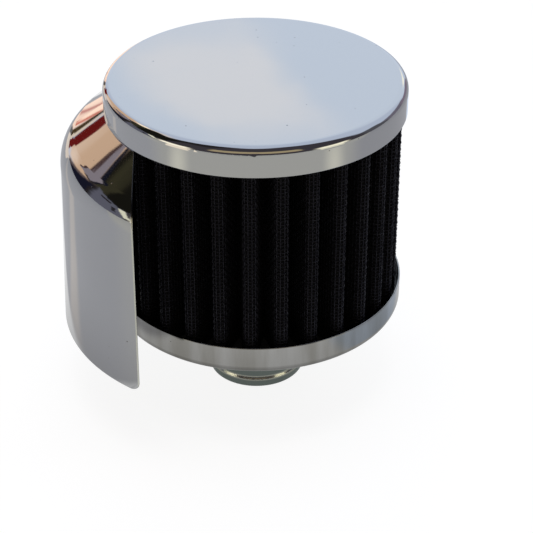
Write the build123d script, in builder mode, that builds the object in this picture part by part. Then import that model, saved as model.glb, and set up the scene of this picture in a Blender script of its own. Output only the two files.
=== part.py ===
from build123d import *
from math import acos, atan2, cos, degrees, hypot, isclose, radians, sin
import os

# A push-in crankcase breather: a pleated element between two pressed caps, a
# drawn neck that plugs into an engine cover, and a formed hood on one side.
# Millimetres. +Z is up. The origin is on the neck's axis, at the underside of
# the bottom cap, and the hood faces -X.

os.makedirs("parts", exist_ok=True)

# Caps: two shallow pressed cups that face each other
cap_r = 38.1
cap_sheet = 0.5
cap_corner_r = 2.2
skirt_height = 7.7
edge_round = 0.2
body_height = 63.5

# Neck: a drawn tube with a flange inside the cap and a hemmed bead at its end
neck_r = 12.3
neck_bore_r = 11.3
neck_length = 22.5
bead_r = 12.7
bead_land = 1.8
bead_shoulder = 0.5
hem_round = 0.9
flange_r = 17.5
flange_thickness = 0.8
flange_round = 1.2
neck_edge = 0.2

# Hood: a collar inside the top cap, a sloped shoulder and a hanging skirt
hood_sheet = 0.6
collar_gap = 0.05
collar_height = 4.0
collar_bend = 0.6
shoulder_drop = 0.4
shoulder_r = 49.5
shoulder_fall = 8.6
shoulder_bend = 9.5
hem_r = 51.1
hem_overhang = 2.6
cut_x = -28.7
hood_corner_r = 2.5
rim_round = 0.25

# Element: a pack of three layers, folded into pleats
pleats = 29
first_crest = 280.4
pleat_depth = 11.0
fold_r = 1.05
media_thickness = 0.7
screen_thickness = 0.35
layer_gap = 0.05
element_gap = 0.1

# Potting: adhesive rings that hold the pleat ends
potting_thickness = 3.0
potting_bore_r = 21.0
potting_gap = 0.1

# Heights and radii that follow
cap_inner_r = cap_r - cap_sheet
skirt_edge_z = body_height - skirt_height
potting_r = cap_inner_r - potting_gap
potting_corner_r = cap_corner_r - cap_sheet + potting_gap
element_low_z = cap_sheet + potting_thickness
element_high_z = body_height - cap_sheet - potting_thickness
collar_r = cap_inner_r - collar_gap
crest_r = collar_r - hood_sheet - element_gap


def polar(radius, angle):
    """A point in plan, from its distance to the axis and its angle in degrees."""
    return Vector(radius * cos(radians(angle)), radius * sin(radians(angle)))


# Top cap
with BuildPart() as top_cap:
    with BuildSketch(Plane.XZ) as section:
        with BuildLine():
            FilletPolyline(
                (0, body_height),
                (cap_r, body_height),
                (cap_r, skirt_edge_z),
                radius=cap_corner_r,
            )
            offset(amount=cap_sheet, side=Side.RIGHT)
        make_face()
        fillet(section.vertices().group_by(Axis.Y)[0], edge_round)
    revolve(axis=Axis.Z)
top_cap.part.label = "top_cap"
export_step(top_cap.part, "parts/top_cap.step")

# Bottom cap, pierced for the neck
with BuildPart() as bottom_cap:
    with BuildSketch(Plane.XZ) as section:
        with BuildLine():
            FilletPolyline(
                (neck_r, 0),
                (cap_r, 0),
                (cap_r, skirt_height),
                radius=cap_corner_r,
            )
            offset(amount=cap_sheet, side=Side.LEFT)
        make_face()
        fillet(section.vertices().group_by(Axis.Y)[-1], edge_round)
    revolve(axis=Axis.Z)
bottom_cap.part.label = "bottom_cap"
export_step(bottom_cap.part, "parts/bottom_cap.step")

# Neck: the flange lies on the bottom cap's floor, and the tube passes the floor's hole
flange_top_z = cap_sheet + flange_thickness
bead_low_z = -neck_length + hem_round
bead_high_z = bead_low_z + bead_land
with BuildPart() as neck:
    with BuildSketch(Plane.XZ):
        with BuildLine():
            Polyline(
                (neck_bore_r + flange_round, flange_top_z),
                (flange_r, flange_top_z),
                (flange_r, cap_sheet),
                (neck_r, cap_sheet),
                (neck_r, bead_high_z + bead_shoulder),
                (bead_r, bead_high_z),
                (bead_r, bead_low_z),
            )
            RadiusArc(
                (bead_r, bead_low_z),
                (bead_r - hem_round, -neck_length),
                hem_round,
            )
            Polyline(
                (bead_r - hem_round, -neck_length),
                (neck_bore_r + neck_edge, -neck_length),
                (neck_bore_r, -neck_length + neck_edge),
                (neck_bore_r, flange_top_z - flange_round),
            )
            RadiusArc(
                (neck_bore_r, flange_top_z - flange_round),
                (neck_bore_r + flange_round, flange_top_z),
                flange_round,
            )
        make_face()
    revolve(axis=Axis.Z)
neck.part.label = "neck"
export_step(neck.part, "parts/neck.step")

# Hood: one sheet, formed to its section, trimmed to its outline as seen from the side, then
# tumbled, which rounds the rim
collar_top_z = skirt_edge_z + collar_height
shoulder_top_z = skirt_edge_z - shoulder_drop
shoulder_low_z = shoulder_top_z - shoulder_fall
flare = (hem_r - shoulder_r) / (shoulder_low_z + hem_overhang)
trim = 2 * hood_sheet
with BuildPart() as hood:
    with BuildSketch(Plane.XZ):
        with BuildLine():
            FilletPolyline(
                (collar_r, collar_top_z),
                (collar_r, shoulder_top_z),
                (shoulder_r, shoulder_low_z),
                (hem_r + flare * trim, -hem_overhang - trim),
                radius=(collar_bend, shoulder_bend),
            )
            offset(amount=hood_sheet, side=Side.RIGHT)
        make_face()
    revolve(axis=Axis.Z)
    with BuildSketch(Plane.XZ) as side_outline:
        with Locations((cut_x, -hem_overhang)):
            Rectangle(hem_r, body_height + hem_overhang, align=(Align.MAX, Align.MIN))
        lower_front = side_outline.vertices().group_by(Axis.Y)[0].sort_by(Axis.X)[-1]
        fillet(lower_front, hood_corner_r)
    extrude(amount=2 * hem_r, both=True, mode=Mode.INTERSECT)
    curved_edges = hood.edges().filter_by(GeomType.LINE, reverse=True)
    front_rim = curved_edges.filter_by(lambda edge: isclose(edge.center().X, cut_x, abs_tol=0.01))
    lower_rim = curved_edges.filter_by(lambda edge: edge.center().Z < 0)
    fillet(front_rim + lower_rim, rim_round)
hood.part.label = "hood"
export_step(hood.part, "parts/hood.step")

# Element: the fold line's middle runs round crest and valley centres, and a
# layer's faces are the same line shifted outward or inward
pitch = 360 / pleats
pack_thickness = media_thickness + 2 * (layer_gap + screen_thickness)
fold_outer_r = fold_r + pack_thickness / 2
crest_centre_r = crest_r - fold_outer_r
valley_centre_r = crest_r - pleat_depth + fold_outer_r
leg_x = valley_centre_r * cos(radians(pitch / 2)) - crest_centre_r
leg_y = valley_centre_r * sin(radians(pitch / 2))
leg_lean = degrees(atan2(leg_y, leg_x) - acos(2 * fold_r / hypot(leg_x, leg_y)))


def fold_point(centre_r, centre_angle, radius, direction):
    """A point on a fold's arc, given by the direction from the fold's centre."""
    return polar(centre_r, centre_angle) + polar(radius, direction)


def fold_outline(shift):
    """The closed line of all pleats, shifted outward from the pack's middle."""
    crest_arc_r = fold_r + shift
    valley_arc_r = fold_r - shift
    for i in range(pleats):
        crest = first_crest + i * pitch
        valley = crest + pitch / 2
        next_crest = crest + pitch
        crest_start = fold_point(crest_centre_r, crest, crest_arc_r, crest - leg_lean)
        crest_middle = fold_point(crest_centre_r, crest, crest_arc_r, crest)
        crest_end = fold_point(crest_centre_r, crest, crest_arc_r, crest + leg_lean)
        valley_start = fold_point(valley_centre_r, valley, valley_arc_r, crest + leg_lean + 180)
        valley_middle = fold_point(valley_centre_r, valley, valley_arc_r, valley + 180)
        valley_end = fold_point(valley_centre_r, valley, valley_arc_r, next_crest - leg_lean + 180)
        next_start = fold_point(crest_centre_r, next_crest, crest_arc_r, next_crest - leg_lean)
        ThreePointArc(crest_start, crest_middle, crest_end)
        Line(crest_end, valley_start)
        ThreePointArc(valley_start, valley_middle, valley_end)
        Line(valley_end, next_start)


def pleated_layer(outer_shift, thickness):
    """One folded layer, from potting to potting."""
    with BuildPart() as layer:
        with BuildSketch(Plane.XY.offset(element_low_z)):
            with BuildLine():
                fold_outline(outer_shift)
            make_face()
            with BuildLine():
                fold_outline(outer_shift - thickness)
            make_face(mode=Mode.SUBTRACT)
        extrude(amount=element_high_z - element_low_z)
    return layer


layers = {
    "outer_screen": (pack_thickness / 2, screen_thickness),
    "filter_media": (media_thickness / 2, media_thickness),
    "inner_screen": (-media_thickness / 2 - layer_gap, screen_thickness),
}
for name, (outer_shift, thickness) in layers.items():
    layer = pleated_layer(outer_shift, thickness)
    layer.part.label = name
    export_step(layer.part, f"parts/{name}.step")

# Potting: the ring on the bottom cap's floor, and the same ring under the top
with BuildPart() as bottom_potting:
    with BuildSketch(Plane.XZ):
        with BuildLine():
            Polyline(
                (potting_bore_r, element_low_z),
                (potting_bore_r, cap_sheet),
                (potting_r - potting_corner_r, cap_sheet),
            )
            RadiusArc(
                (potting_r - potting_corner_r, cap_sheet),
                (potting_r, cap_sheet + potting_corner_r),
                -potting_corner_r,
            )
            Polyline(
                (potting_r, cap_sheet + potting_corner_r),
                (potting_r, element_low_z),
                (potting_bore_r, element_low_z),
            )
        make_face()
    revolve(axis=Axis.Z)
bottom_potting.part.label = "bottom_potting"
export_step(bottom_potting.part, "parts/bottom_potting.step")

with BuildPart() as top_potting:
    add(bottom_potting.part)
    mirror(about=Plane.XY.offset(body_height / 2), mode=Mode.REPLACE)
top_potting.part.label = "top_potting"
export_step(top_potting.part, "parts/top_potting.step")
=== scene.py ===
# %% [markdown]
# # A chromed breather filter, dressed from its frame
#
# The real object is small and simple: two pressed steel caps hold a ring of folded black wire
# cloth, a short plated neck plugs into an engine cover, and a bent sheet of chromed steel shields
# one side. Nearly everything that one sees on it is a reflection, so this lesson is mostly about
# what polished metal is given to reflect, and about cloth that is really woven.
#
# The solids come ready, at their true size, in metres, with +Z up. We load them, keep the box that
# they fill, and never move them: we give them finishes, and build only what a solid can't show.

# %% Load the frame
from math import acos, atan2, cos, hypot, pi, radians, sin

import bpy
import numpy as np
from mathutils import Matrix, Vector


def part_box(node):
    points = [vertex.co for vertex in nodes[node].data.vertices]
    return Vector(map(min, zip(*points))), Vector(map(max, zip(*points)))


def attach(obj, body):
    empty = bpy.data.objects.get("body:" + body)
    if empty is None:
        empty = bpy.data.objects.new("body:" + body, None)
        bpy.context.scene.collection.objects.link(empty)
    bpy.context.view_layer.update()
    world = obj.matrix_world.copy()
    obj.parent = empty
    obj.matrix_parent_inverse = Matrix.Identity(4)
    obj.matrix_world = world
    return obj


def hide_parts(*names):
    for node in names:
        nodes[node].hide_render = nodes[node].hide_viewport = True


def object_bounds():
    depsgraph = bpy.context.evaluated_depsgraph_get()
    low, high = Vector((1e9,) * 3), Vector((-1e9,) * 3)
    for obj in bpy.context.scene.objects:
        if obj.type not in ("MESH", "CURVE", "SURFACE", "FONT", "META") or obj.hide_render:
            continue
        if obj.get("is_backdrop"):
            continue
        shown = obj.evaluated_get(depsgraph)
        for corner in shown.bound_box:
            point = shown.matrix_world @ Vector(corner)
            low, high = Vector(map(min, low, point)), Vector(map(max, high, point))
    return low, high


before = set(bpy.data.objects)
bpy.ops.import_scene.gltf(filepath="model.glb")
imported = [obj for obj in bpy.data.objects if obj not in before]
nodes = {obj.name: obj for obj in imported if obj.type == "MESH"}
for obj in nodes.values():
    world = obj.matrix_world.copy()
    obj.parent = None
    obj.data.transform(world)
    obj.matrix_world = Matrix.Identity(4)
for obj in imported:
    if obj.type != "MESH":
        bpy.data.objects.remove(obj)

cad_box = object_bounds()
mm = 0.001
for name in sorted(nodes):
    low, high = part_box(name)
    size = [round((high[i] - low[i]) / mm, 1) for i in range(3)]
    print(name, "size in mm", size)

# %% [markdown]
# ## The camera
#
# A product picture like this one is taken from a little way off with a long lens, so the round caps
# stay nearly true ellipses. The camera looks down by about a third of a right angle. We could nudge
# it by eye, but it is easier to state what was worked out from the two cap edges: how far the
# camera is from the cap's underside, how steeply it looks down, and how far it sits to the side.

# %% Place the camera
camera_distance = 0.45299
camera_tilt = radians(32.05)
camera_right = 0.00272
camera_up = 0.00671
sensor_width = 36.0
image_width = 533
focal_pixels = 1687.6

camera_data = bpy.data.cameras.new("product_camera")
camera_data.sensor_width = sensor_width
camera_data.lens = focal_pixels / image_width * sensor_width
camera_data.clip_start = 0.01
camera = bpy.data.objects.new("product_camera", camera_data)
bpy.context.scene.collection.objects.link(camera)
toward_camera = Vector((0, -cos(camera_tilt), sin(camera_tilt)))
image_up = Vector((0, sin(camera_tilt), cos(camera_tilt)))
camera.location = (
    toward_camera * camera_distance
    + image_up * camera_up
    + Vector((camera_right, 0, 0))
)
camera.rotation_euler = (pi / 2 - camera_tilt, 0, 0)
bpy.context.scene.camera = camera
bpy.context.scene.view_settings.view_transform = "Standard"
print("lens", round(camera_data.lens, 1), "mm, camera at", [round(v, 3) for v in camera.location])

# %% [markdown]
# ## Small helpers for node trees
#
# Every finish below is a tree of nodes. Writing each node by hand takes three or four lines, so a
# few helpers keep the recipes readable. The first adds a node and fills or links its sockets, and
# the others are short names for sums, soft ranges, blends, noise and groups.

# %% Helpers that build node trees
def add_node(tree, kind, inputs=None, **settings):
    """A new node of that kind, with its settings and its input sockets filled or linked."""
    node = tree.nodes.new(kind)
    for key, value in settings.items():
        setattr(node, key, value)
    for socket, value in (inputs or {}).items():
        if isinstance(value, bpy.types.NodeSocket):
            tree.links.new(value, node.inputs[socket])
        else:
            node.inputs[socket].default_value = value
    return node


def math_node(tree, operation, first, second=0.0, third=0.0, clamp=False):
    """The result of one sum, with numbers or sockets as its terms."""
    inputs = {0: first, 1: second, 2: third}
    node = add_node(tree, "ShaderNodeMath", inputs, operation=operation, use_clamp=clamp)
    return node.outputs[0]


def map_range(tree, value, from_low, from_high, to_low=0.0, to_high=1.0):
    """A value moved from one range to another, with soft ends."""
    inputs = {"Value": value, "From Min": from_low, "From Max": from_high}
    inputs.update({"To Min": to_low, "To Max": to_high})
    node = add_node(tree, "ShaderNodeMapRange", inputs, interpolation_type="SMOOTHSTEP")
    return node.outputs[0]


def mix_colour(tree, factor, first, second):
    """A blend of two colours by a factor."""
    inputs = {0: factor, 6: first, 7: second}
    node = add_node(tree, "ShaderNodeMix", inputs, data_type="RGBA")
    return node.outputs[2]


def noise(tree, place, scale, detail=2.0, roughness=0.5):
    """A soft random value that is fixed to the surface."""
    inputs = {"Vector": place, "Scale": scale, "Detail": detail, "Roughness": roughness}
    return add_node(tree, "ShaderNodeTexNoise", inputs).outputs[0]


def new_group(name, inputs, outputs):
    """An empty node group with float inputs and the named outputs, and its two end nodes."""
    group = bpy.data.node_groups.new(name, "ShaderNodeTree")
    for title, value in inputs.items():
        socket = group.interface.new_socket(title, in_out="INPUT", socket_type="NodeSocketFloat")
        socket.default_value = value
    for title, kind in outputs.items():
        group.interface.new_socket(title, in_out="OUTPUT", socket_type=kind)
    start = group.nodes.new("NodeGroupInput")
    end = group.nodes.new("NodeGroupOutput")
    return group, start, end


def place_group(tree, group, **values):
    """A copy of a node group in a material, with its own values."""
    node = tree.nodes.new("ShaderNodeGroup")
    node.node_tree = group
    for title, value in values.items():
        node.inputs[title.replace("_", " ")].default_value = value
    return node


print("helpers ready")

# %% [markdown]
# ## The room that the metal sees
#
# Polished metal has almost no colour of its own: it is a mirror, so the room is half of the
# material. A flat white room would make the chrome look like grey plastic. A product room has a
# pale blue sheet of light behind and above the object, a dark side where the camera stands, a
# window on each hand, and a warm wall with a few things standing before it on the left. We paint
# that room on the world by direction: heading round the horizon, and height above it, each a plain
# angle. Soft windows in those two angles lay one tone over another, and a little noise bends their
# edges, since nothing in a real room is quite square.

# %% A soft window between two angles
def soft_window(tree, angle, low, high, edge):
    """A mask that is 1 inside a range of degrees and fades to 0 over its edges."""
    low, high, edge = radians(low), radians(high), radians(edge)
    rising = map_range(tree, angle, low - edge, low + edge)
    falling = map_range(tree, angle, high - edge, high + edge, 1.0, 0.0)
    return math_node(tree, "MULTIPLY", rising, falling)


print("soft window ready")

# %% What stands in the room
sky_tone = (0.77, 0.86, 1.06, 1)
edge_bend = radians(4)
# Each patch: name, heading from and to, height from and to, soft edge, lean, tilt and tone. Angles
# are in degrees. Heading 0 is behind the object, and it grows toward +X. Lean is how far the
# heading shifts for each degree of height, and tilt is how far the height shifts for each degree
# of heading. A later patch lies over an earlier one.
room_patches = [
    ("back_sheet", -24, 40, 8, 48, 8, 0, 0, (0.93, 1.04, 1.22, 1)),
    ("back_glow", -4.2, 1.6, 24.0, 27.6, 1.1, 1.0, 0, (1.15, 1.165, 1.23, 1)),
    ("right_shelf", 43, 82, -6, 18.5, 3, 0, 0, (0.24, 0.22, 0.28, 1)),
    ("right_foot", 26.5, 50, -14, 13.5, 2, 0, 0, (0.32, 0.26, 0.34, 1)),
    ("right_window", 15.5, 24.5, 14.5, 22.5, 1.5, 0, 0, (1.55, 1.50, 1.30, 1)),
    ("right_post", 73, 104, -8, 27, 3, 0.3, 0, (0.13, 0.13, 0.15, 1)),
    ("camera_side", 96, 269, -10, 82, 5, 0, 0, (0.070, 0.063, 0.075, 1)),
    ("front_board", 146, 214, 18, 39, 3, 0, 0, (0.60, 0.48, 0.29, 1)),
    ("window_right", 112, 136, -12, 13, 4, 0, 0, (1.80, 1.68, 1.30, 1)),
    ("window_left", -133, -109, -12, 12, 4, 0, 0, (1.90, 1.75, 1.40, 1)),
    ("warm_glow", -92, -52, 46, 56, 5, 0, 0, (1.30, 1.06, 0.84, 1)),
    ("warm_wall", -68, -37, 5, 44, 2, 0, 0, (1.00, 0.67, 0.45, 1)),
    ("warm_floor_lamp", -50, -39, 2, 16, 5, 0, 0, (1.25, 0.95, 0.75, 1)),
    ("curtain", -112, -58.6, 18, 54, 1.2, 0, 0, (0.013, 0.012, 0.009, 1)),
    ("curtain_top", -138, -84, 52, 78, 5, 0, 0, (0.030, 0.028, 0.030, 1)),
    ("ceiling_strip", -61, -45, 43.0, 49, 1.2, 0, 0, (1.75, 1.45, 1.10, 1)),
    ("olive_fold", -78, -64, 22, 43, 2.5, 0.35, 0, (0.055, 0.050, 0.028, 1)),
    ("lilac_board", -66.5, -54.0, 20.5, 34.2, 0.5, 0.0, 0.08, (0.37, 0.32, 0.36, 1)),
    ("lilac_corner", -61, -53, 18, 26, 0.5, -0.2, -0.3, (0.37, 0.32, 0.36, 1)),
    ("board_edge", -68.8, -66.9, 14, 36, 0.5, 0.1, 0, (0.012, 0.014, 0.026, 1)),
    ("board_top", -67.5, -57.2, 34.2, 36.6, 0.5, 0, 0.08, (0.012, 0.014, 0.026, 1)),
    ("board_side", -53.9, -52.6, 17, 33, 0.35, -0.15, 0, (0.09, 0.05, 0.05, 1)),
    ("brown_edge", -71, -44, -20, 12.0, 2.2, 0, -0.84, (0.16, 0.12, 0.12, 1)),
    ("slate_panel", -103, -73, -8, 20, 1.4, 0, 0.35, (0.17, 0.17, 0.22, 1)),
    ("slate_slot", -90, -79.5, 15.6, 18.2, 0.5, 0, 0.12, (0.03, 0.026, 0.028, 1)),
    ("slate_bar", -96, -92.8, 4.5, 12, 0.7, 0.35, 0, (0.03, 0.028, 0.032, 1)),
    ("cream_lamp", -105, -100, 2, 16, 1.1, 0.5, 0, (1.20, 1.16, 0.90, 1)),
    ("dark_post", -75, -67, -4, 22, 2.2, 0, 0, (0.030, 0.025, 0.027, 1)),
    ("navy_foot", -71, -47, -20, 9.3, 1.2, 0, -0.84, (0.014, 0.015, 0.032, 1)),
    ("red_cloth", -38.6, -33.8, -3, 14.0, 0.6, 0, 0, (0.21, 0.014, 0.013, 1)),
    ("red_fold", -36, -31.8, 8.2, 14.5, 0.5, 0, 0, (0.20, 0.014, 0.012, 1)),
    ("cream_trim", -33.6, -30.6, -3, 8.0, 0.4, 0.1, 0, (1.10, 0.92, 0.74, 1)),
    ("olive_trim", -31.4, -28.4, -9, 6.3, 0.4, 0, 0, (0.09, 0.055, 0.02, 1)),
    ("pink_wall", -28.4, -12, -10, 9, 0.8, 0, 0, (1.70, 1.25, 0.98, 1)),
    ("red_stripe", -25.8, -25.0, -8, 4, 0.3, -0.5, 0, (0.95, 0.30, 0.22, 1)),
]
print("room holds", len(room_patches), "patches")

# %% Paint the room
def paint_room():
    """A world whose colour depends only on the direction that a ray leaves in."""
    world = bpy.data.worlds.new("product_room")
    world.use_nodes = True
    tree = world.node_tree
    tree.nodes.clear()
    direction = add_node(tree, "ShaderNodeTexCoord").outputs["Generated"]
    split = add_node(tree, "ShaderNodeSeparateXYZ", {0: direction})
    bend_inputs = {"Vector": direction, "Scale": 15.0, "Detail": 3.0}
    bend = add_node(tree, "ShaderNodeTexNoise", bend_inputs).outputs["Color"]
    bend = add_node(tree, "ShaderNodeSeparateColor", {0: bend})
    heading = math_node(tree, "ARCTAN2", split.outputs["X"], split.outputs["Y"])
    heading_bend = math_node(tree, "SUBTRACT", bend.outputs[0], 0.5)
    heading = math_node(tree, "MULTIPLY_ADD", heading_bend, edge_bend, heading)
    height = math_node(tree, "ARCSINE", split.outputs["Z"])
    height_bend = math_node(tree, "SUBTRACT", bend.outputs[1], 0.5)
    height = math_node(tree, "MULTIPLY_ADD", height_bend, edge_bend, height)
    colour = sky_tone
    for name, left, right, low, high, edge, lean, tilt, tone in room_patches:
        middle, level = (left + right) / 2, (low + high) / 2
        turned = math_node(tree, "SUBTRACT", heading, radians(middle))
        across = math_node(tree, "WRAP", turned, pi, -pi)
        upward = math_node(tree, "SUBTRACT", height, radians(level))
        leaned = math_node(tree, "MULTIPLY_ADD", upward, -lean, across) if lean else across
        tilted = math_node(tree, "MULTIPLY_ADD", across, -tilt, upward) if tilt else upward
        sideways = soft_window(tree, leaned, left - middle, right - middle, edge)
        upright = soft_window(tree, tilted, low - level, high - level, edge)
        mask = math_node(tree, "MULTIPLY", sideways, upright)
        mask.node.label = name
        colour = mix_colour(tree, mask, colour, tone)
    background = add_node(tree, "ShaderNodeBackground", {"Color": colour, "Strength": 1.0})
    output = add_node(tree, "ShaderNodeOutputWorld")
    tree.links.new(background.outputs[0], output.inputs["Surface"])
    return world


bpy.context.scene.world = paint_room()
print("room painted with", len(bpy.context.scene.world.node_tree.nodes), "nodes")

# %% [markdown]
# ## The floor
#
# The camera sees plain white paper from every side. Mirrors see more: where the sheet ends, they
# show a pale grey table, which is why the upright chrome skirts look mid grey. Two pools of window
# light and one pale strip lie on that table, and they give the skirts their soft upright bands.
# Farther off lie a striped cloth, on the left, and the light of two windows, which only the rounded
# edges mirror. The right side is cooler and dimmer, and close under the filter the mirrored ground
# is darker, as it is in the filter's own shade.

# %% Lay the floor
floor_height = cad_box[0][2]
floor_size = 6.0
paper_front = -0.0840
paper_middle, paper_side = 0.0027, 0.0585
paper_widening = 0.134
paper_fade = 0.005
light_pools = [(-0.145, -0.108, 0.034), (0.148, -0.105, 0.034)]
# Each far band: heading from and to in degrees, how far off it starts in metres, and its tone.
far_bands = [
    (-46, -31.8, 0.42, (0.95, 0.80, 0.66, 1)),
    (-31.8, -29.0, 0.42, (0.06, 0.04, 0.02, 1)),
    (-29.0, -11, 0.42, (1.30, 0.92, 0.70, 1)),
    (-24.4, -23.6, 0.42, (0.62, 0.16, 0.11, 1)),
    (-134, -117, 0.24, (1.30, 1.12, 0.86, 1)),
    (117, 135, 0.33, (1.10, 1.05, 0.78, 1)),
]
band_edge, band_onset = 0.5, 0.05
strip_offset, strip_width, strip_core = -0.064, 0.017, 0.3
shade_inner, shade_outer, shade_depth = 0.040, 0.110, 0.42
# Each turn is where one tone starts to give way to the next and where it has done so.
front_turn, right_turn = (-0.03, -0.09), (0.03, 0.09)
cool_turn, strip_turn = (0.052, 0.062), (-0.06, -0.08)
paper_colour, table_colour = (0.18, 0.18, 0.18, 1), (0.27, 0.27, 0.27, 1)
paper_glow, cool_paper = (0.89, 0.89, 0.89, 1), (0.62, 0.71, 0.85, 1)
cool_glow, dim_glow = (0.328, 0.330, 0.350, 1), (0.275, 0.275, 0.295, 1)
warm_glow = (0.42, 0.41, 0.365, 1)
pool_glow, strip_glow = (0.74, 0.71, 0.58, 1), (0.50, 0.46, 0.43, 1)


def light_pool_mask(tree, split, x, y, radius):
    """A soft round mask on the floor."""
    across = math_node(tree, "SUBTRACT", split.outputs["X"], x)
    along = math_node(tree, "SUBTRACT", split.outputs["Y"], y)
    square = math_node(tree, "MULTIPLY", across, across)
    distance = math_node(tree, "SQRT", math_node(tree, "MULTIPLY_ADD", along, along, square))
    return map_range(tree, distance, radius, 0.0)


def off_paper_mask(tree, split):
    """A mask of the ground beyond the sheet, which is wider at the back than in front."""
    beyond_front = math_node(tree, "SUBTRACT", paper_front, split.outputs["Y"])
    off_middle = math_node(tree, "SUBTRACT", split.outputs["X"], paper_middle)
    aside = math_node(tree, "ABSOLUTE", off_middle)
    depth = math_node(tree, "SUBTRACT", split.outputs["Y"], paper_front)
    half_width = math_node(tree, "MULTIPLY_ADD", depth, paper_widening, paper_side)
    beyond_side = math_node(tree, "SUBTRACT", aside, half_width)
    beyond = math_node(tree, "MAXIMUM", beyond_front, beyond_side)
    return map_range(tree, beyond, 0.0, paper_fade)


def table_light(tree, split, far):
    """The table's tones, with its pools and its strip of light and the bands far off."""
    toward_front = map_range(tree, split.outputs["Y"], *front_turn)
    toward_right = map_range(tree, split.outputs["X"], *right_turn)
    light = mix_colour(tree, toward_right, cool_glow, dim_glow)
    light = mix_colour(tree, toward_front, light, warm_glow)
    for x, y, radius in light_pools:
        pool = light_pool_mask(tree, split, x, y, radius)
        light = mix_colour(tree, pool, light, pool_glow)
    slanted = math_node(tree, "ADD", split.outputs["X"], split.outputs["Y"])
    off_strip = math_node(tree, "ABSOLUTE", math_node(tree, "SUBTRACT", slanted, strip_offset))
    strip = map_range(tree, off_strip, strip_width, strip_core * strip_width)
    strip = math_node(tree, "MULTIPLY", strip, map_range(tree, split.outputs["X"], *strip_turn))
    light = mix_colour(tree, strip, light, strip_glow)
    around = math_node(tree, "ARCTAN2", split.outputs["X"], split.outputs["Y"])
    for left, right, start, tone in far_bands:
        band = soft_window(tree, around, left, right, band_edge)
        begun = map_range(tree, far, start, start + band_onset)
        light = mix_colour(tree, math_node(tree, "MULTIPLY", band, begun), light, tone)
    return light


def make_floor_material():
    """Plain paper for the camera, and for mirrors the table and the filter's shade as well."""
    material = bpy.data.materials.new("paper_and_table")
    material.use_nodes = True
    tree = material.node_tree
    tree.nodes.clear()
    path = add_node(tree, "ShaderNodeLightPath")
    camera_ray, mirror_ray = path.outputs["Is Camera Ray"], path.outputs["Is Glossy Ray"]
    place = add_node(tree, "ShaderNodeTexCoord").outputs["Object"]
    split = add_node(tree, "ShaderNodeSeparateXYZ", {0: place})
    far = add_node(tree, "ShaderNodeVectorMath", {0: place}, operation="LENGTH").outputs["Value"]
    not_camera = math_node(tree, "SUBTRACT", 1.0, camera_ray)
    table = math_node(tree, "MULTIPLY", off_paper_mask(tree, split), not_camera)
    diffuse_tone = mix_colour(tree, table, paper_colour, table_colour)
    cool_side = map_range(tree, split.outputs["X"], *cool_turn)
    cool_side = math_node(tree, "MULTIPLY", cool_side, mirror_ray)
    paper_tone = mix_colour(tree, cool_side, paper_glow, cool_paper)
    glow_tone = mix_colour(tree, table, paper_tone, table_light(tree, split, far))
    shade = map_range(tree, far, shade_inner, shade_outer, shade_depth, 1.0)
    mirrored = math_node(tree, "MULTIPLY", mirror_ray, shade)
    seen = math_node(tree, "MAXIMUM", camera_ray, mirrored)
    seen = math_node(tree, "MAXIMUM", seen, path.outputs["Is Transmission Ray"])
    diffuse = add_node(tree, "ShaderNodeBsdfDiffuse", {"Color": diffuse_tone})
    glow = add_node(tree, "ShaderNodeEmission", {"Color": glow_tone, "Strength": seen})
    both = add_node(tree, "ShaderNodeAddShader", {0: diffuse.outputs[0], 1: glow.outputs[0]})
    output = add_node(tree, "ShaderNodeOutputMaterial")
    tree.links.new(both.outputs[0], output.inputs["Surface"])
    return material


half = floor_size / 2
floor_mesh = bpy.data.meshes.new("floor")
floor_corners = [(-half, -half), (half, -half), (half, half), (-half, half)]
floor_mesh.from_pydata([(x, y, floor_height) for x, y in floor_corners], [], [(0, 1, 2, 3)])
floor_mesh.materials.append(make_floor_material())
floor = bpy.data.objects.new("floor", floor_mesh)
bpy.context.scene.collection.objects.link(floor)
floor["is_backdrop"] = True
print("floor at", round(floor_height / mm, 2), "mm")

# %% [markdown]
# ## The lamp
#
# The painted room gives most of the light. One large soft lamp overhead adds a gentle shadow under
# the cap. It is hidden from mirrors, since the painted room already shows the metal its lights, and
# its power is low, so that a colour still renders about as it is written.

# %% Hang the lamp
def soft_lamp(name, place, target, size, watts, tint):
    """A square area lamp that points at a target and shows in no mirror."""
    data = bpy.data.lights.new(name, "AREA")
    data.shape = "SQUARE"
    data.size = size
    data.energy = watts
    data.color = tint
    lamp = bpy.data.objects.new(name, data)
    lamp.location = place
    lamp.rotation_euler = (Vector(target) - Vector(place)).to_track_quat("-Z", "Y").to_euler()
    lamp.visible_glossy = False
    bpy.context.scene.collection.objects.link(lamp)
    return lamp


soft_lamp(
    "overhead_lamp",
    place=(-0.05, -0.10, 0.80),
    target=(0, 0, 0.03),
    size=0.45,
    watts=2.0,
    tint=(1.0, 0.97, 0.93),
)
print("lamp hung")

# %% [markdown]
# ## Effects that several finishes share
#
# Plated metal is never quite perfect. Dust specks and pinholes dot it, polishing leaves hair-fine
# lines, and a pressed sheet is a little wavy. These belong in one node group, so that the caps, the
# hood and the neck can each use it with their own values. The group gives out masks and a height,
# and the shader itself stays in each material.

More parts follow.
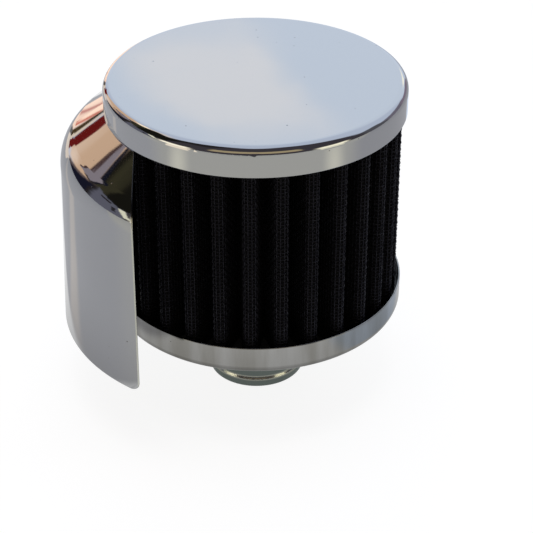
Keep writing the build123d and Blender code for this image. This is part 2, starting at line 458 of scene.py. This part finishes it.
# %% The plated surface group
def make_plated_surface():
    """Specks, a haze and a height for plated sheet, all fixed to the metal."""
    inputs = {"Speck Scale": 500.0, "Speck Amount": 0.5, "Ripple": 0.5, "Grain": 0.5}
    outputs = {
        "Specks": "NodeSocketFloat",
        "Haze": "NodeSocketFloat",
        "Height": "NodeSocketFloat",
    }
    group, start, end = new_group("plated_surface", inputs, outputs)
    place = add_node(group, "ShaderNodeTexCoord").outputs["Object"]
    spot_inputs = {"Vector": place, "Scale": start.outputs["Speck Scale"], "Randomness": 1.0}
    spots = add_node(group, "ShaderNodeTexVoronoi", spot_inputs, feature="F1")
    split = add_node(group, "ShaderNodeSeparateColor", {0: spots.outputs["Color"]})
    rare = math_node(group, "LESS_THAN", split.outputs[0], start.outputs["Speck Amount"])
    smallest, spread = 0.03, 0.10
    size = math_node(group, "MULTIPLY_ADD", split.outputs[1], spread, smallest)
    dot = map_range(group, spots.outputs["Distance"], size, 0.0)
    specks = math_node(group, "MULTIPLY", dot, rare)
    haze = map_range(group, noise(group, place, 70.0, detail=5.0, roughness=0.6), 0.35, 0.75)
    waves = noise(group, place, 42.0, detail=1.0, roughness=0.4)
    waves = math_node(group, "MULTIPLY", waves, start.outputs["Ripple"])
    grain = math_node(group, "MULTIPLY", noise(group, place, 2600.0), start.outputs["Grain"])
    relief = math_node(group, "ADD", waves, grain)
    relief = math_node(group, "SUBTRACT", relief, math_node(group, "MULTIPLY", specks, 0.02))
    group.links.new(specks, end.inputs["Specks"])
    group.links.new(haze, end.inputs["Haze"])
    group.links.new(relief, end.inputs["Height"])
    return group


plated_surface = make_plated_surface()
print("plated surface group has", len(plated_surface.nodes), "nodes")

# %% [markdown]
# Cloth, whether of wire or of cotton, shows a weave. The pleats run straight up and down, so height
# gives one thread direction for free. The other follows the folded line, which has no simple
# coordinate. For the layers that are hardly seen we use plan angle and height: near enough on cloth
# that is nearly black.

# %% The weave group
def make_weave():
    """Threads round the axis and up it, as a height and a mask of the gaps between them."""
    inputs = {"Thread Pitch": 0.001, "Mean Radius": 0.031}
    outputs = {"Height": "NodeSocketFloat", "Gaps": "NodeSocketFloat"}
    group, start, end = new_group("weave", inputs, outputs)
    place = add_node(group, "ShaderNodeTexCoord").outputs["Object"]
    split = add_node(group, "ShaderNodeSeparateXYZ", {0: place})
    heading = math_node(group, "ARCTAN2", split.outputs["Y"], split.outputs["X"])
    around = math_node(group, "MULTIPLY", heading, start.outputs["Mean Radius"])
    waves = []
    for distance in (around, split.outputs["Z"]):
        turns = math_node(group, "DIVIDE", distance, start.outputs["Thread Pitch"])
        wave = math_node(group, "SINE", math_node(group, "MULTIPLY", turns, pi))
        waves.append(math_node(group, "ABSOLUTE", wave))
    height = math_node(group, "MAXIMUM", waves[0], waves[1])
    group.links.new(height, end.inputs["Height"])
    group.links.new(map_range(group, height, 0.75, 0.45), end.inputs["Gaps"])
    return group


weave = make_weave()
print("weave group has", len(weave.nodes), "nodes")

# %% [markdown]
# ## Finishes
#
# Each finish is a Principled shader. A value that is the same all over is set on the shader itself,
# and only what changes over the surface comes in through a wire.

# %% A helper that starts a finish
def new_finish(name, **constants):
    """A material with one Principled shader, its plain values, and its tree."""
    material = bpy.data.materials.new(name)
    material.use_nodes = True
    tree = material.node_tree
    shader = tree.nodes["Principled BSDF"]
    for title, value in constants.items():
        shader.inputs[title.replace("_", " ")].default_value = value
    return material, tree, shader


def add_relief(tree, shader, height, depth):
    """Feeds a height, whose full range is a depth in metres, to the shader's normal."""
    bump = add_node(tree, "ShaderNodeBump", {"Height": height, "Strength": 1.0, "Distance": depth})
    tree.links.new(bump.outputs["Normal"], shader.inputs["Normal"])


print("finish helper ready")

# %% [markdown]
# Bright chromium reflects a little over half of the light, with a faint cool tint. Its haze changes
# the roughness by a few hundredths, which is enough to soften one part of a reflection. The lower
# cap's colour is darkened in faint streaks that run down: a painted shade, so that it mirrors
# darker. It is a little rougher there too. The hood's trimmed edge is rougher, and its colour
# holds a painted highlight, pale along the skirt, and a painted shade, dark along the shoulder.

# %% Chrome for the caps and the hood
# The hood's trimmed edge, in mm: the heights between which its painted light turns from a pale
# highlight to a dark shade, and how far from its end it begins and is full.
edge_highlight_z, edge_shade_z = 45.2, 46.2
edge_begins, edge_full = 0.50, 0.30


def painted_shade_streaks(tree, amount):
    """How much painted shade darkens the plating, in streaks that run down."""
    place = add_node(tree, "ShaderNodeTexCoord").outputs["Object"]
    stretch = {0: place, 1: (1.0, 1.0, 0.12)}
    stretched = add_node(tree, "ShaderNodeVectorMath", stretch, operation="MULTIPLY").outputs[0]
    streaks = noise(tree, stretched, 170.0, detail=4.0)
    return map_range(tree, streaks, 0.32, 0.68, 0.6 * amount, amount)


def make_chrome(name, speck_scale, speck_amount, ripple, streak_shade=0.0, edge_x=None):
    """Bright plating on pressed steel, with painted streaks of shade or a painted edge if asked."""
    material, tree, shader = new_finish(name, Metallic=1.0)
    specks = {"Speck_Scale": speck_scale, "Speck_Amount": speck_amount}
    surface = place_group(tree, plated_surface, Ripple=ripple, Grain=0.001, **specks)
    clean, speck = (0.505, 0.512, 0.515, 1), (0.10, 0.09, 0.08, 1)
    colour = mix_colour(tree, surface.outputs["Specks"], clean, speck)
    haze = math_node(tree, "MULTIPLY_ADD", surface.outputs["Haze"], 0.03, 0.035)
    roughness = math_node(tree, "MULTIPLY_ADD", surface.outputs["Specks"], 0.4, haze)
    if streak_shade:
        # Painted shade: the streaks darken the lower cap's colour, so that it mirrors darker.
        streak_mask = painted_shade_streaks(tree, streak_shade)
        colour = mix_colour(tree, streak_mask, colour, (0.225, 0.218, 0.195, 1))
        roughness = math_node(tree, "MULTIPLY_ADD", streak_mask, 0.04, roughness)
    if edge_x is not None:
        place = add_node(tree, "ShaderNodeTexCoord").outputs["Object"]
        split = add_node(tree, "ShaderNodeSeparateXYZ", {0: place})
        shoulder = map_range(tree, split.outputs["Z"], edge_highlight_z * mm, edge_shade_z * mm)
        # Painted highlight and shade on the edge: pale along the skirt, dark along the shoulder.
        edge_highlight_and_shade = mix_colour(tree, shoulder, (0.66, 0.665, 0.60, 1), (0.035, 0.035, 0.035, 1))
        begins, full = edge_x - edge_begins * mm, edge_x - edge_full * mm
        trimmed = map_range(tree, split.outputs["X"], begins, full)
        colour = mix_colour(tree, trimmed, colour, edge_highlight_and_shade)
        roughness = math_node(tree, "MULTIPLY_ADD", trimmed, 0.25, roughness)
    tree.links.new(colour, shader.inputs["Base Color"])
    tree.links.new(roughness, shader.inputs["Roughness"])
    add_relief(tree, shader, surface.outputs["Height"], 0.0006)
    return material


hood_edge_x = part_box("hood")[1][0]
chrome_finishes = {
    "top_cap": make_chrome("chrome_top_cap", 420.0, 0.30, 0.10),
    "bottom_cap": make_chrome("chrome_bottom_cap", 420.0, 0.25, 0.10, streak_shade=0.9),
    "hood": make_chrome("chrome_hood", 380.0, 0.25, 0.30, edge_x=hood_edge_x),
}
print("chrome on", sorted(chrome_finishes), "and the hood's edge is at", round(hood_edge_x / mm, 2))

# %% [markdown]
# The neck is zinc plated, so it is softer and greyer than the chrome. It was drawn through a die,
# and fine lines run round it where it was trimmed and beaded. They stretch the reflection upright.
# The bead's shoulder is lighter and a little smoother in a band: a painted highlight, which
# brightens the glints of the windows that it mirrors.

# %% Zinc plate for the neck
shoulder_low, shoulder_high = -20.35, -19.05
glint_band_fade = 0.1


def make_zinc():
    """Satin zinc plate with fine rings and a faint mottle."""
    material, tree, shader = new_finish("zinc_plate", Metallic=1.0)
    specks = {"Speck_Scale": 700.0, "Speck_Amount": 0.5}
    surface = place_group(tree, plated_surface, Ripple=0.08, Grain=0.03, **specks)
    place = add_node(tree, "ShaderNodeTexCoord").outputs["Object"]
    height = add_node(tree, "ShaderNodeSeparateXYZ", {0: place}).outputs["Z"]
    line_inputs = {"W": height, "Scale": 5200.0, "Detail": 3.0}
    lines = add_node(tree, "ShaderNodeTexNoise", line_inputs, noise_dimensions="1D").outputs[0]
    tone = map_range(tree, surface.outputs["Haze"], 0.0, 1.0, 0.0, 0.6)
    colour = mix_colour(tree, tone, (0.230, 0.270, 0.250, 1), (0.182, 0.216, 0.204, 1))
    above_band_low, above_band_high = [
        map_range(tree, height, (level - glint_band_fade) * mm, (level + glint_band_fade) * mm)
        for level in (shoulder_low, shoulder_high)
    ]
    # Painted highlight: a lighter band on the bead's shoulder, which brightens its glints.
    glint_band = math_node(tree, "SUBTRACT", above_band_low, above_band_high)
    colour = mix_colour(tree, glint_band, colour, (0.46, 0.47, 0.41, 1))
    colour = mix_colour(tree, surface.outputs["Specks"], colour, (0.05, 0.05, 0.05, 1))
    tree.links.new(colour, shader.inputs["Base Color"])
    roughness = math_node(tree, "MULTIPLY_ADD", surface.outputs["Haze"], 0.10, 0.14)
    roughness = math_node(tree, "MULTIPLY_ADD", glint_band, -0.06, roughness)
    roughness = math_node(tree, "MULTIPLY_ADD", lines, 0.08, roughness)
    tree.links.new(roughness, shader.inputs["Roughness"])
    relief = math_node(tree, "MULTIPLY_ADD", lines, 0.02, surface.outputs["Height"])
    add_relief(tree, shader, relief, 0.0006)
    return material


zinc = make_zinc()
print("zinc ready")

# %% [markdown]
# The wire is dipped in black resin after weaving, which fills it out to a flat oval. The coat is
# semi-gloss on the crests, which hands and dust have polished, and dull down in the folds, where
# its colour is also darkened as a painted shade. Behind it, the cotton soaks up nearly all light.

# %% Black coated wire
glossy_r, dull_shaded_r = 35.9, 34.4


def make_coated_wire():
    """Black resin on wire, with a slightly uneven coat."""
    material, tree, shader = new_finish("coated_wire", IOR=1.5, Specular_IOR_Level=0.29)
    shader.inputs["Specular Tint"].default_value = (0.82, 0.80, 1.0, 1)
    place = add_node(tree, "ShaderNodeTexCoord").outputs["Object"]
    flat = {0: place, 1: (1.0, 1.0, 0.0)}
    flat_place = add_node(tree, "ShaderNodeVectorMath", flat, operation="MULTIPLY").outputs[0]
    radius = add_node(tree, "ShaderNodeVectorMath", {0: flat_place}, operation="LENGTH")
    # Painted shade: the colour darkens from the crests down into the folds, which are duller too.
    depth = map_range(tree, radius.outputs["Value"], glossy_r * mm, dull_shaded_r * mm)
    dullness = map_range(tree, noise(tree, place, 850.0, roughness=0.6), 0.62, 0.42)
    dust = map_range(tree, noise(tree, place, 160.0, detail=4.0), 0.45, 0.72)
    colour = mix_colour(tree, dust, (0.0042, 0.0042, 0.0065, 1), (0.011, 0.011, 0.016, 1))
    colour = mix_colour(tree, depth, colour, (0.0015, 0.0015, 0.0018, 1))
    tree.links.new(colour, shader.inputs["Base Color"])
    roughness = math_node(tree, "MULTIPLY_ADD", dullness, 0.45, 0.20)
    roughness = math_node(tree, "MULTIPLY_ADD", depth, 0.5, roughness, clamp=True)
    tree.links.new(roughness, shader.inputs["Roughness"])
    add_relief(tree, shader, noise(tree, place, 3200.0), 0.00004)
    return material


coated_wire = make_coated_wire()
print("coated wire ready")

# %% Black cotton, inner wire cloth and potting
def make_cotton():
    """Dark oiled cotton gauze with a fine thread."""
    material, tree, shader = new_finish("oiled_cotton", IOR=1.4, Specular_IOR_Level=0.2)
    threads = place_group(tree, weave, Thread_Pitch=0.0004, Mean_Radius=0.031)
    colour = mix_colour(
        tree, threads.outputs["Gaps"], (0.006, 0.006, 0.007, 1), (0.002, 0.002, 0.002, 1)
    )
    tree.links.new(colour, shader.inputs["Base Color"])
    roughness = math_node(tree, "MULTIPLY_ADD", threads.outputs["Height"], -0.1, 0.95)
    tree.links.new(roughness, shader.inputs["Roughness"])
    add_relief(tree, shader, threads.outputs["Height"], 0.00008)
    return material


def make_inner_cloth():
    """The inner wire cloth, painted as a weave because it is only seen through the neck."""
    material, tree, shader = new_finish("inner_wire_cloth", IOR=1.5)
    threads = place_group(tree, weave, Thread_Pitch=0.00097, Mean_Radius=0.031)
    colour = mix_colour(
        tree, threads.outputs["Gaps"], (0.022, 0.022, 0.024, 1), (0.004, 0.004, 0.004, 1)
    )
    tree.links.new(colour, shader.inputs["Base Color"])
    roughness = math_node(tree, "MULTIPLY_ADD", threads.outputs["Gaps"], 0.5, 0.4)
    tree.links.new(roughness, shader.inputs["Roughness"])
    add_relief(tree, shader, threads.outputs["Height"], 0.00025)
    return material


def make_potting():
    """Black cast adhesive with a few small bubbles."""
    material, tree, shader = new_finish("potting_resin", IOR=1.5)
    place = add_node(tree, "ShaderNodeTexCoord").outputs["Object"]
    bubble_inputs = {"Vector": place, "Scale": 600.0}
    bubbles = add_node(tree, "ShaderNodeTexVoronoi", bubble_inputs).outputs["Distance"]
    pits = map_range(tree, bubbles, 0.22, 0.05)
    swirl = noise(tree, place, 120.0, detail=4.0)
    colour = mix_colour(tree, swirl, (0.010, 0.010, 0.010, 1), (0.026, 0.025, 0.024, 1))
    tree.links.new(colour, shader.inputs["Base Color"])
    roughness = math_node(tree, "MULTIPLY_ADD", swirl, 0.35, 0.25)
    tree.links.new(roughness, shader.inputs["Roughness"])
    add_relief(tree, shader, math_node(tree, "SUBTRACT", swirl, pits), 0.0002)
    return material


finishes = dict(chrome_finishes)
finishes["filter_media"] = make_cotton()
finishes["inner_screen"] = make_inner_cloth()
finishes["top_potting"] = finishes["bottom_potting"] = make_potting()
for name, finish in finishes.items():
    mesh = nodes[name].data
    mesh.materials.clear()
    mesh.materials.append(finish)
print("finishes on", sorted(finishes))

# %% [markdown]
# ## The neck's bead
#
# The solid's bead has a plain cone for a shoulder. A drawn tube can't have such sharp corners: the
# metal flows from one radius to the other in a soft S, and each of its two bends mirrors the
# windows as a short glint. So this piece repeats the solid's section, in mm, with that one line
# made round, and spins it about the axis.

# %% Spin the neck's section
bore_r, neck_r, bead_r, flange_r = 11.3, 12.3, 12.7, 17.5
flange_low, flange_high, flange_round = 0.5, 1.3, 1.2
neck_low, neck_edge, hem_round = -22.5, 0.2, 0.9
spin_count = 192
sharp_angle = radians(30)

flange_bend = np.linspace(0, pi / 2, 9)
hem_bend = np.linspace(0, pi / 2, 11)
flow = np.linspace(0, 1, 25)
flange_arc = np.c_[
    bore_r + flange_round * (1 - np.cos(flange_bend)),
    flange_high - flange_round * (1 - np.sin(flange_bend)),
]
shoulder_line = np.c_[
    neck_r + (bead_r - neck_r) / 2 * (1 - np.cos(pi * flow)),
    shoulder_high + (shoulder_low - shoulder_high) * flow,
]
hem_arc = np.c_[
    bead_r - hem_round * (1 - np.cos(hem_bend)),
    neck_low + hem_round * (1 - np.sin(hem_bend)),
]
neck_section = np.concatenate([
    flange_arc,
    [(flange_r, flange_high), (flange_r, flange_low), (neck_r, flange_low)],
    shoulder_line,
    hem_arc,
    [(bore_r + neck_edge, neck_low), (bore_r, neck_low + neck_edge)],
])
spins = np.arange(spin_count) * 2 * pi / spin_count
spun = np.stack([
    neck_section[None, :, 0] * np.cos(spins)[:, None],
    neck_section[None, :, 0] * np.sin(spins)[:, None],
    np.repeat(neck_section[None, :, 1], len(spins), axis=0),
], -1)
place = np.arange(spun.shape[0] * spun.shape[1]).reshape(spun.shape[:2])
beside, below = np.roll(place, -1, axis=0), np.roll(place, -1, axis=1)
quads = np.stack([place, below, np.roll(beside, -1, axis=1), beside], -1).reshape(-1, 4)
neck_mesh = bpy.data.meshes.new("neck_tube")
neck_mesh.from_pydata((spun.reshape(-1, 3) * mm).tolist(), [], quads.tolist())
neck_mesh.shade_smooth()
neck_mesh.set_sharp_from_angle(angle=sharp_angle)
neck_mesh.materials.append(zinc)
neck_tube = bpy.data.objects.new("neck_tube", neck_mesh)
bpy.context.scene.collection.objects.link(neck_tube)
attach(neck_tube, "root")
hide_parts("neck")
print("neck section has", len(neck_section), "points")

# %% [markdown]
# ## The wire cloth
#
# The outer layer is plain woven wire cloth, about 26 wires to the inch, folded into the pleats. A
# bump map could fake it, but at the crests one sees real holes and the wires' own highlights. So we
# build every wire: uprights that run from potting to potting, and rings that follow all the folds.
# At each crossing one wire steps outward and the other inward, turn about, as on a loom.
#
# All that we need is the folded line: where it is and which way is outward, at evenly spaced
# stations. One pleat is an arc over the crest, a straight leg, a tight arc in the valley and a
# second leg. The others are turned copies. These are the same sizes that the solids were made from.

# %% The folded line
pleats = 29
first_crest = 280.4
fold_r = 1.05
crest_centre_r = 35.05
valley_centre_r = 27.65
screen_middle = 0.575
pleat_turn = 360 / pleats
leg_x = valley_centre_r * cos(radians(pleat_turn / 2)) - crest_centre_r
leg_y = valley_centre_r * sin(radians(pleat_turn / 2))
leg_lean = atan2(leg_y, leg_x) - acos(2 * fold_r / hypot(leg_x, leg_y))
crest_arc_r = fold_r + screen_middle
valley_arc_r = fold_r - screen_middle
leg_length = (hypot(leg_x, leg_y) ** 2 - (2 * fold_r) ** 2) ** 0.5
crest_half = crest_arc_r * leg_lean
valley_half = valley_arc_r * (leg_lean - radians(pleat_turn / 2))
half_pleat = crest_half + leg_length + valley_half
print("leg lean", round(leg_lean * 180 / pi, 2), "degrees")
print("half a pleat", round(half_pleat, 2), "mm")


def half_station(distance):
    """The point and the outward direction on half a pleat, with its crest on the x axis, in mm."""
    if distance <= crest_half:
        angle = distance / crest_arc_r
        outward = np.array([cos(angle), sin(angle)])
        return np.array([crest_centre_r, 0.0]) + crest_arc_r * outward, outward
    outward = np.array([cos(leg_lean), sin(leg_lean)])
    along = np.array([-sin(leg_lean), cos(leg_lean)])
    leg_start = np.array([crest_centre_r, 0.0]) + crest_arc_r * outward
    if distance <= crest_half + leg_length:
        return leg_start + along * (distance - crest_half), outward
    angle = leg_lean - (distance - crest_half - leg_length) / valley_arc_r
    outward = np.array([cos(angle), sin(angle)])
    turn = radians(pleat_turn / 2)
    valley = valley_centre_r * np.array([cos(turn), sin(turn)])
    return valley - valley_arc_r * outward, outward


def station(distance):
    """The point and the outward direction anywhere along the whole folded line, in mm."""
    pleat, along = divmod(distance, 2 * half_pleat)
    beyond = along > half_pleat
    point, outward = half_station(2 * half_pleat - along if beyond else along)
    if beyond:
        point, outward = point * (1, -1), outward * (1, -1)
    turn = radians(first_crest + (pleat + beyond) * pleat_turn)
    spin = np.array([[cos(turn), -sin(turn)], [sin(turn), cos(turn)]])
    return spin @ point, spin @ outward


for distance in (0.0, crest_half, crest_half + leg_length, half_pleat, half_pleat + 0.001):
    point, outward = station(distance)
    print("station", round(distance, 2), "radius", round(hypot(*point), 2), "mm")

# %% [markdown]
# Now the weave itself. An even number of uprights keeps the over and under pattern whole where the
# line closes. The pitch is loosened by a few hundredths of a millimetre here and there, as in real
# cloth, from a seeded draw, so that every run gives the same cloth.

# %% Stations, heights and steps
upright_count = 640
ring_count = 58
wire_thickness, wire_width = 0.29, 0.40
weave_step, least_share = 0.15, 0.55
seat_depth = 0.05
cloth_low, cloth_high = 3.5, 60.0
upright_stray, ring_stray, stray_window = 0.05, 0.025, 9
draw = np.random.default_rng(29)

folded_length = 2 * half_pleat * pleats
upright_pitch = folded_length / upright_count
stray = draw.normal(0, upright_stray, upright_count + stray_window - 1)
stray = np.convolve(stray, np.ones(stray_window) / stray_window**0.5, "valid")
distances = (np.arange(upright_count) + 0.5) * upright_pitch + stray
points, outwards = zip(*[station(d % folded_length) for d in distances])
points, outwards = np.array(points), np.array(outwards)
ring_pitch = (cloth_high - cloth_low) / ring_count
ring_heights = cloth_low + (np.arange(ring_count) + 0.5) * ring_pitch
ring_heights = ring_heights + draw.normal(0, ring_stray, ring_count)
over = (-1.0) ** np.add.outer(np.arange(upright_count), np.arange(ring_count))
over = over * draw.uniform(least_share, 1.0, over.shape)
print("upright pitch", round(upright_pitch, 3), "mm, ring pitch", round(ring_pitch, 3), "mm")

# %% Wires as three-sided tubes
section_angles = np.array([0.0, 2 * pi / 3, 4 * pi / 3])
# A triangle's corners reach a little past half the wire, so that it looks as thick as an oval.
corner_reach = 0.56


def wires_piece(name, centres, outs, sides, closed):
    """One mesh of many wires. centres, outs and sides hold, for each wire, a row of vectors."""
    wires, stops = centres.shape[:2]
    across = np.cos(section_angles)[None, None, :, None] * outs[:, :, None, :]
    aside = np.sin(section_angles)[None, None, :, None] * sides[:, :, None, :]
    reach = corner_reach * (wire_thickness * across + wire_width * aside)
    corners = (centres[:, :, None, :] + reach).reshape(-1, 3) * mm
    index = np.arange(wires * stops * 3).reshape(wires, stops, 3)
    after = np.roll(index, -1, axis=1) if closed else index[:, 1:]
    before = index if closed else index[:, :-1]
    faces = []
    for k in range(3):
        n = (k + 1) % 3
        quad = np.stack([before[:, :, k], before[:, :, n], after[:, :, n], after[:, :, k]], -1)
        faces.append(quad.reshape(-1, 4))
    faces = np.concatenate(faces).tolist()
    if not closed:
        faces += index[:, 0, ::-1].tolist() + index[:, -1].tolist()
    mesh = bpy.data.meshes.new(name)
    mesh.from_pydata(corners.tolist(), [], faces)
    mesh.shade_smooth()
    mesh.materials.append(coated_wire)
    piece = bpy.data.objects.new(name, mesh)
    bpy.context.scene.collection.objects.link(piece)
    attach(piece, "root")
    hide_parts("outer_screen")
    mesh.calc_loop_triangles()
    print(name, "has", len(mesh.loop_triangles), "triangles")


def two_pieces(name, centres, outs, sides, closed):
    """The same wires in two halves, which keeps each mesh small enough to reuse."""
    half_count = len(centres) // 2
    for number, part in enumerate((slice(0, half_count), slice(half_count, None)), 1):
        wires_piece(f"{name}_{number}", centres[part], outs[part], sides[part], closed)


print("wire section has", len(section_angles), "corners")

# %% Weave the uprights
up = np.array([0.0, 0.0, 1.0])
flat_outs = np.c_[outwards, np.zeros(upright_count)]
flat_points = np.c_[points, np.zeros(upright_count)] - seat_depth * flat_outs
alongs = np.cross(up, flat_outs)
stops = np.r_[cloth_low, ring_heights, cloth_high]
steps = np.c_[np.zeros(upright_count), over, np.zeros(upright_count)] * weave_step
upright_centres = flat_points[:, None, :] + steps[:, :, None] * flat_outs[:, None, :]
upright_centres = upright_centres + stops[None, :, None] * up
upright_outs = np.repeat(flat_outs[:, None, :], len(stops), axis=1)
upright_sides = np.repeat(alongs[:, None, :], len(stops), axis=1)
two_pieces("screen_uprights", upright_centres, upright_outs, upright_sides, closed=False)

# %% Weave the rings
ring_centres = flat_points[None, :, :] - (over.T * weave_step)[:, :, None] * flat_outs[None, :, :]
ring_centres = ring_centres + ring_heights[:, None, None] * up
ring_outs = np.repeat(flat_outs[None, :, :], ring_count, axis=0)
ring_sides = np.broadcast_to(-up, ring_outs.shape)
two_pieces("screen_rings", ring_centres, ring_outs, ring_sides, closed=True)

# %% [markdown]
#
# The dressed part has to fill the same box as the bare solids. We print both boxes.

# %% Write the sizes and finish
visual_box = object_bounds()
for label, box in (("cad", cad_box), ("visual", visual_box)):
    print(label, [[round(v / mm, 2) for v in corner] for corner in box])
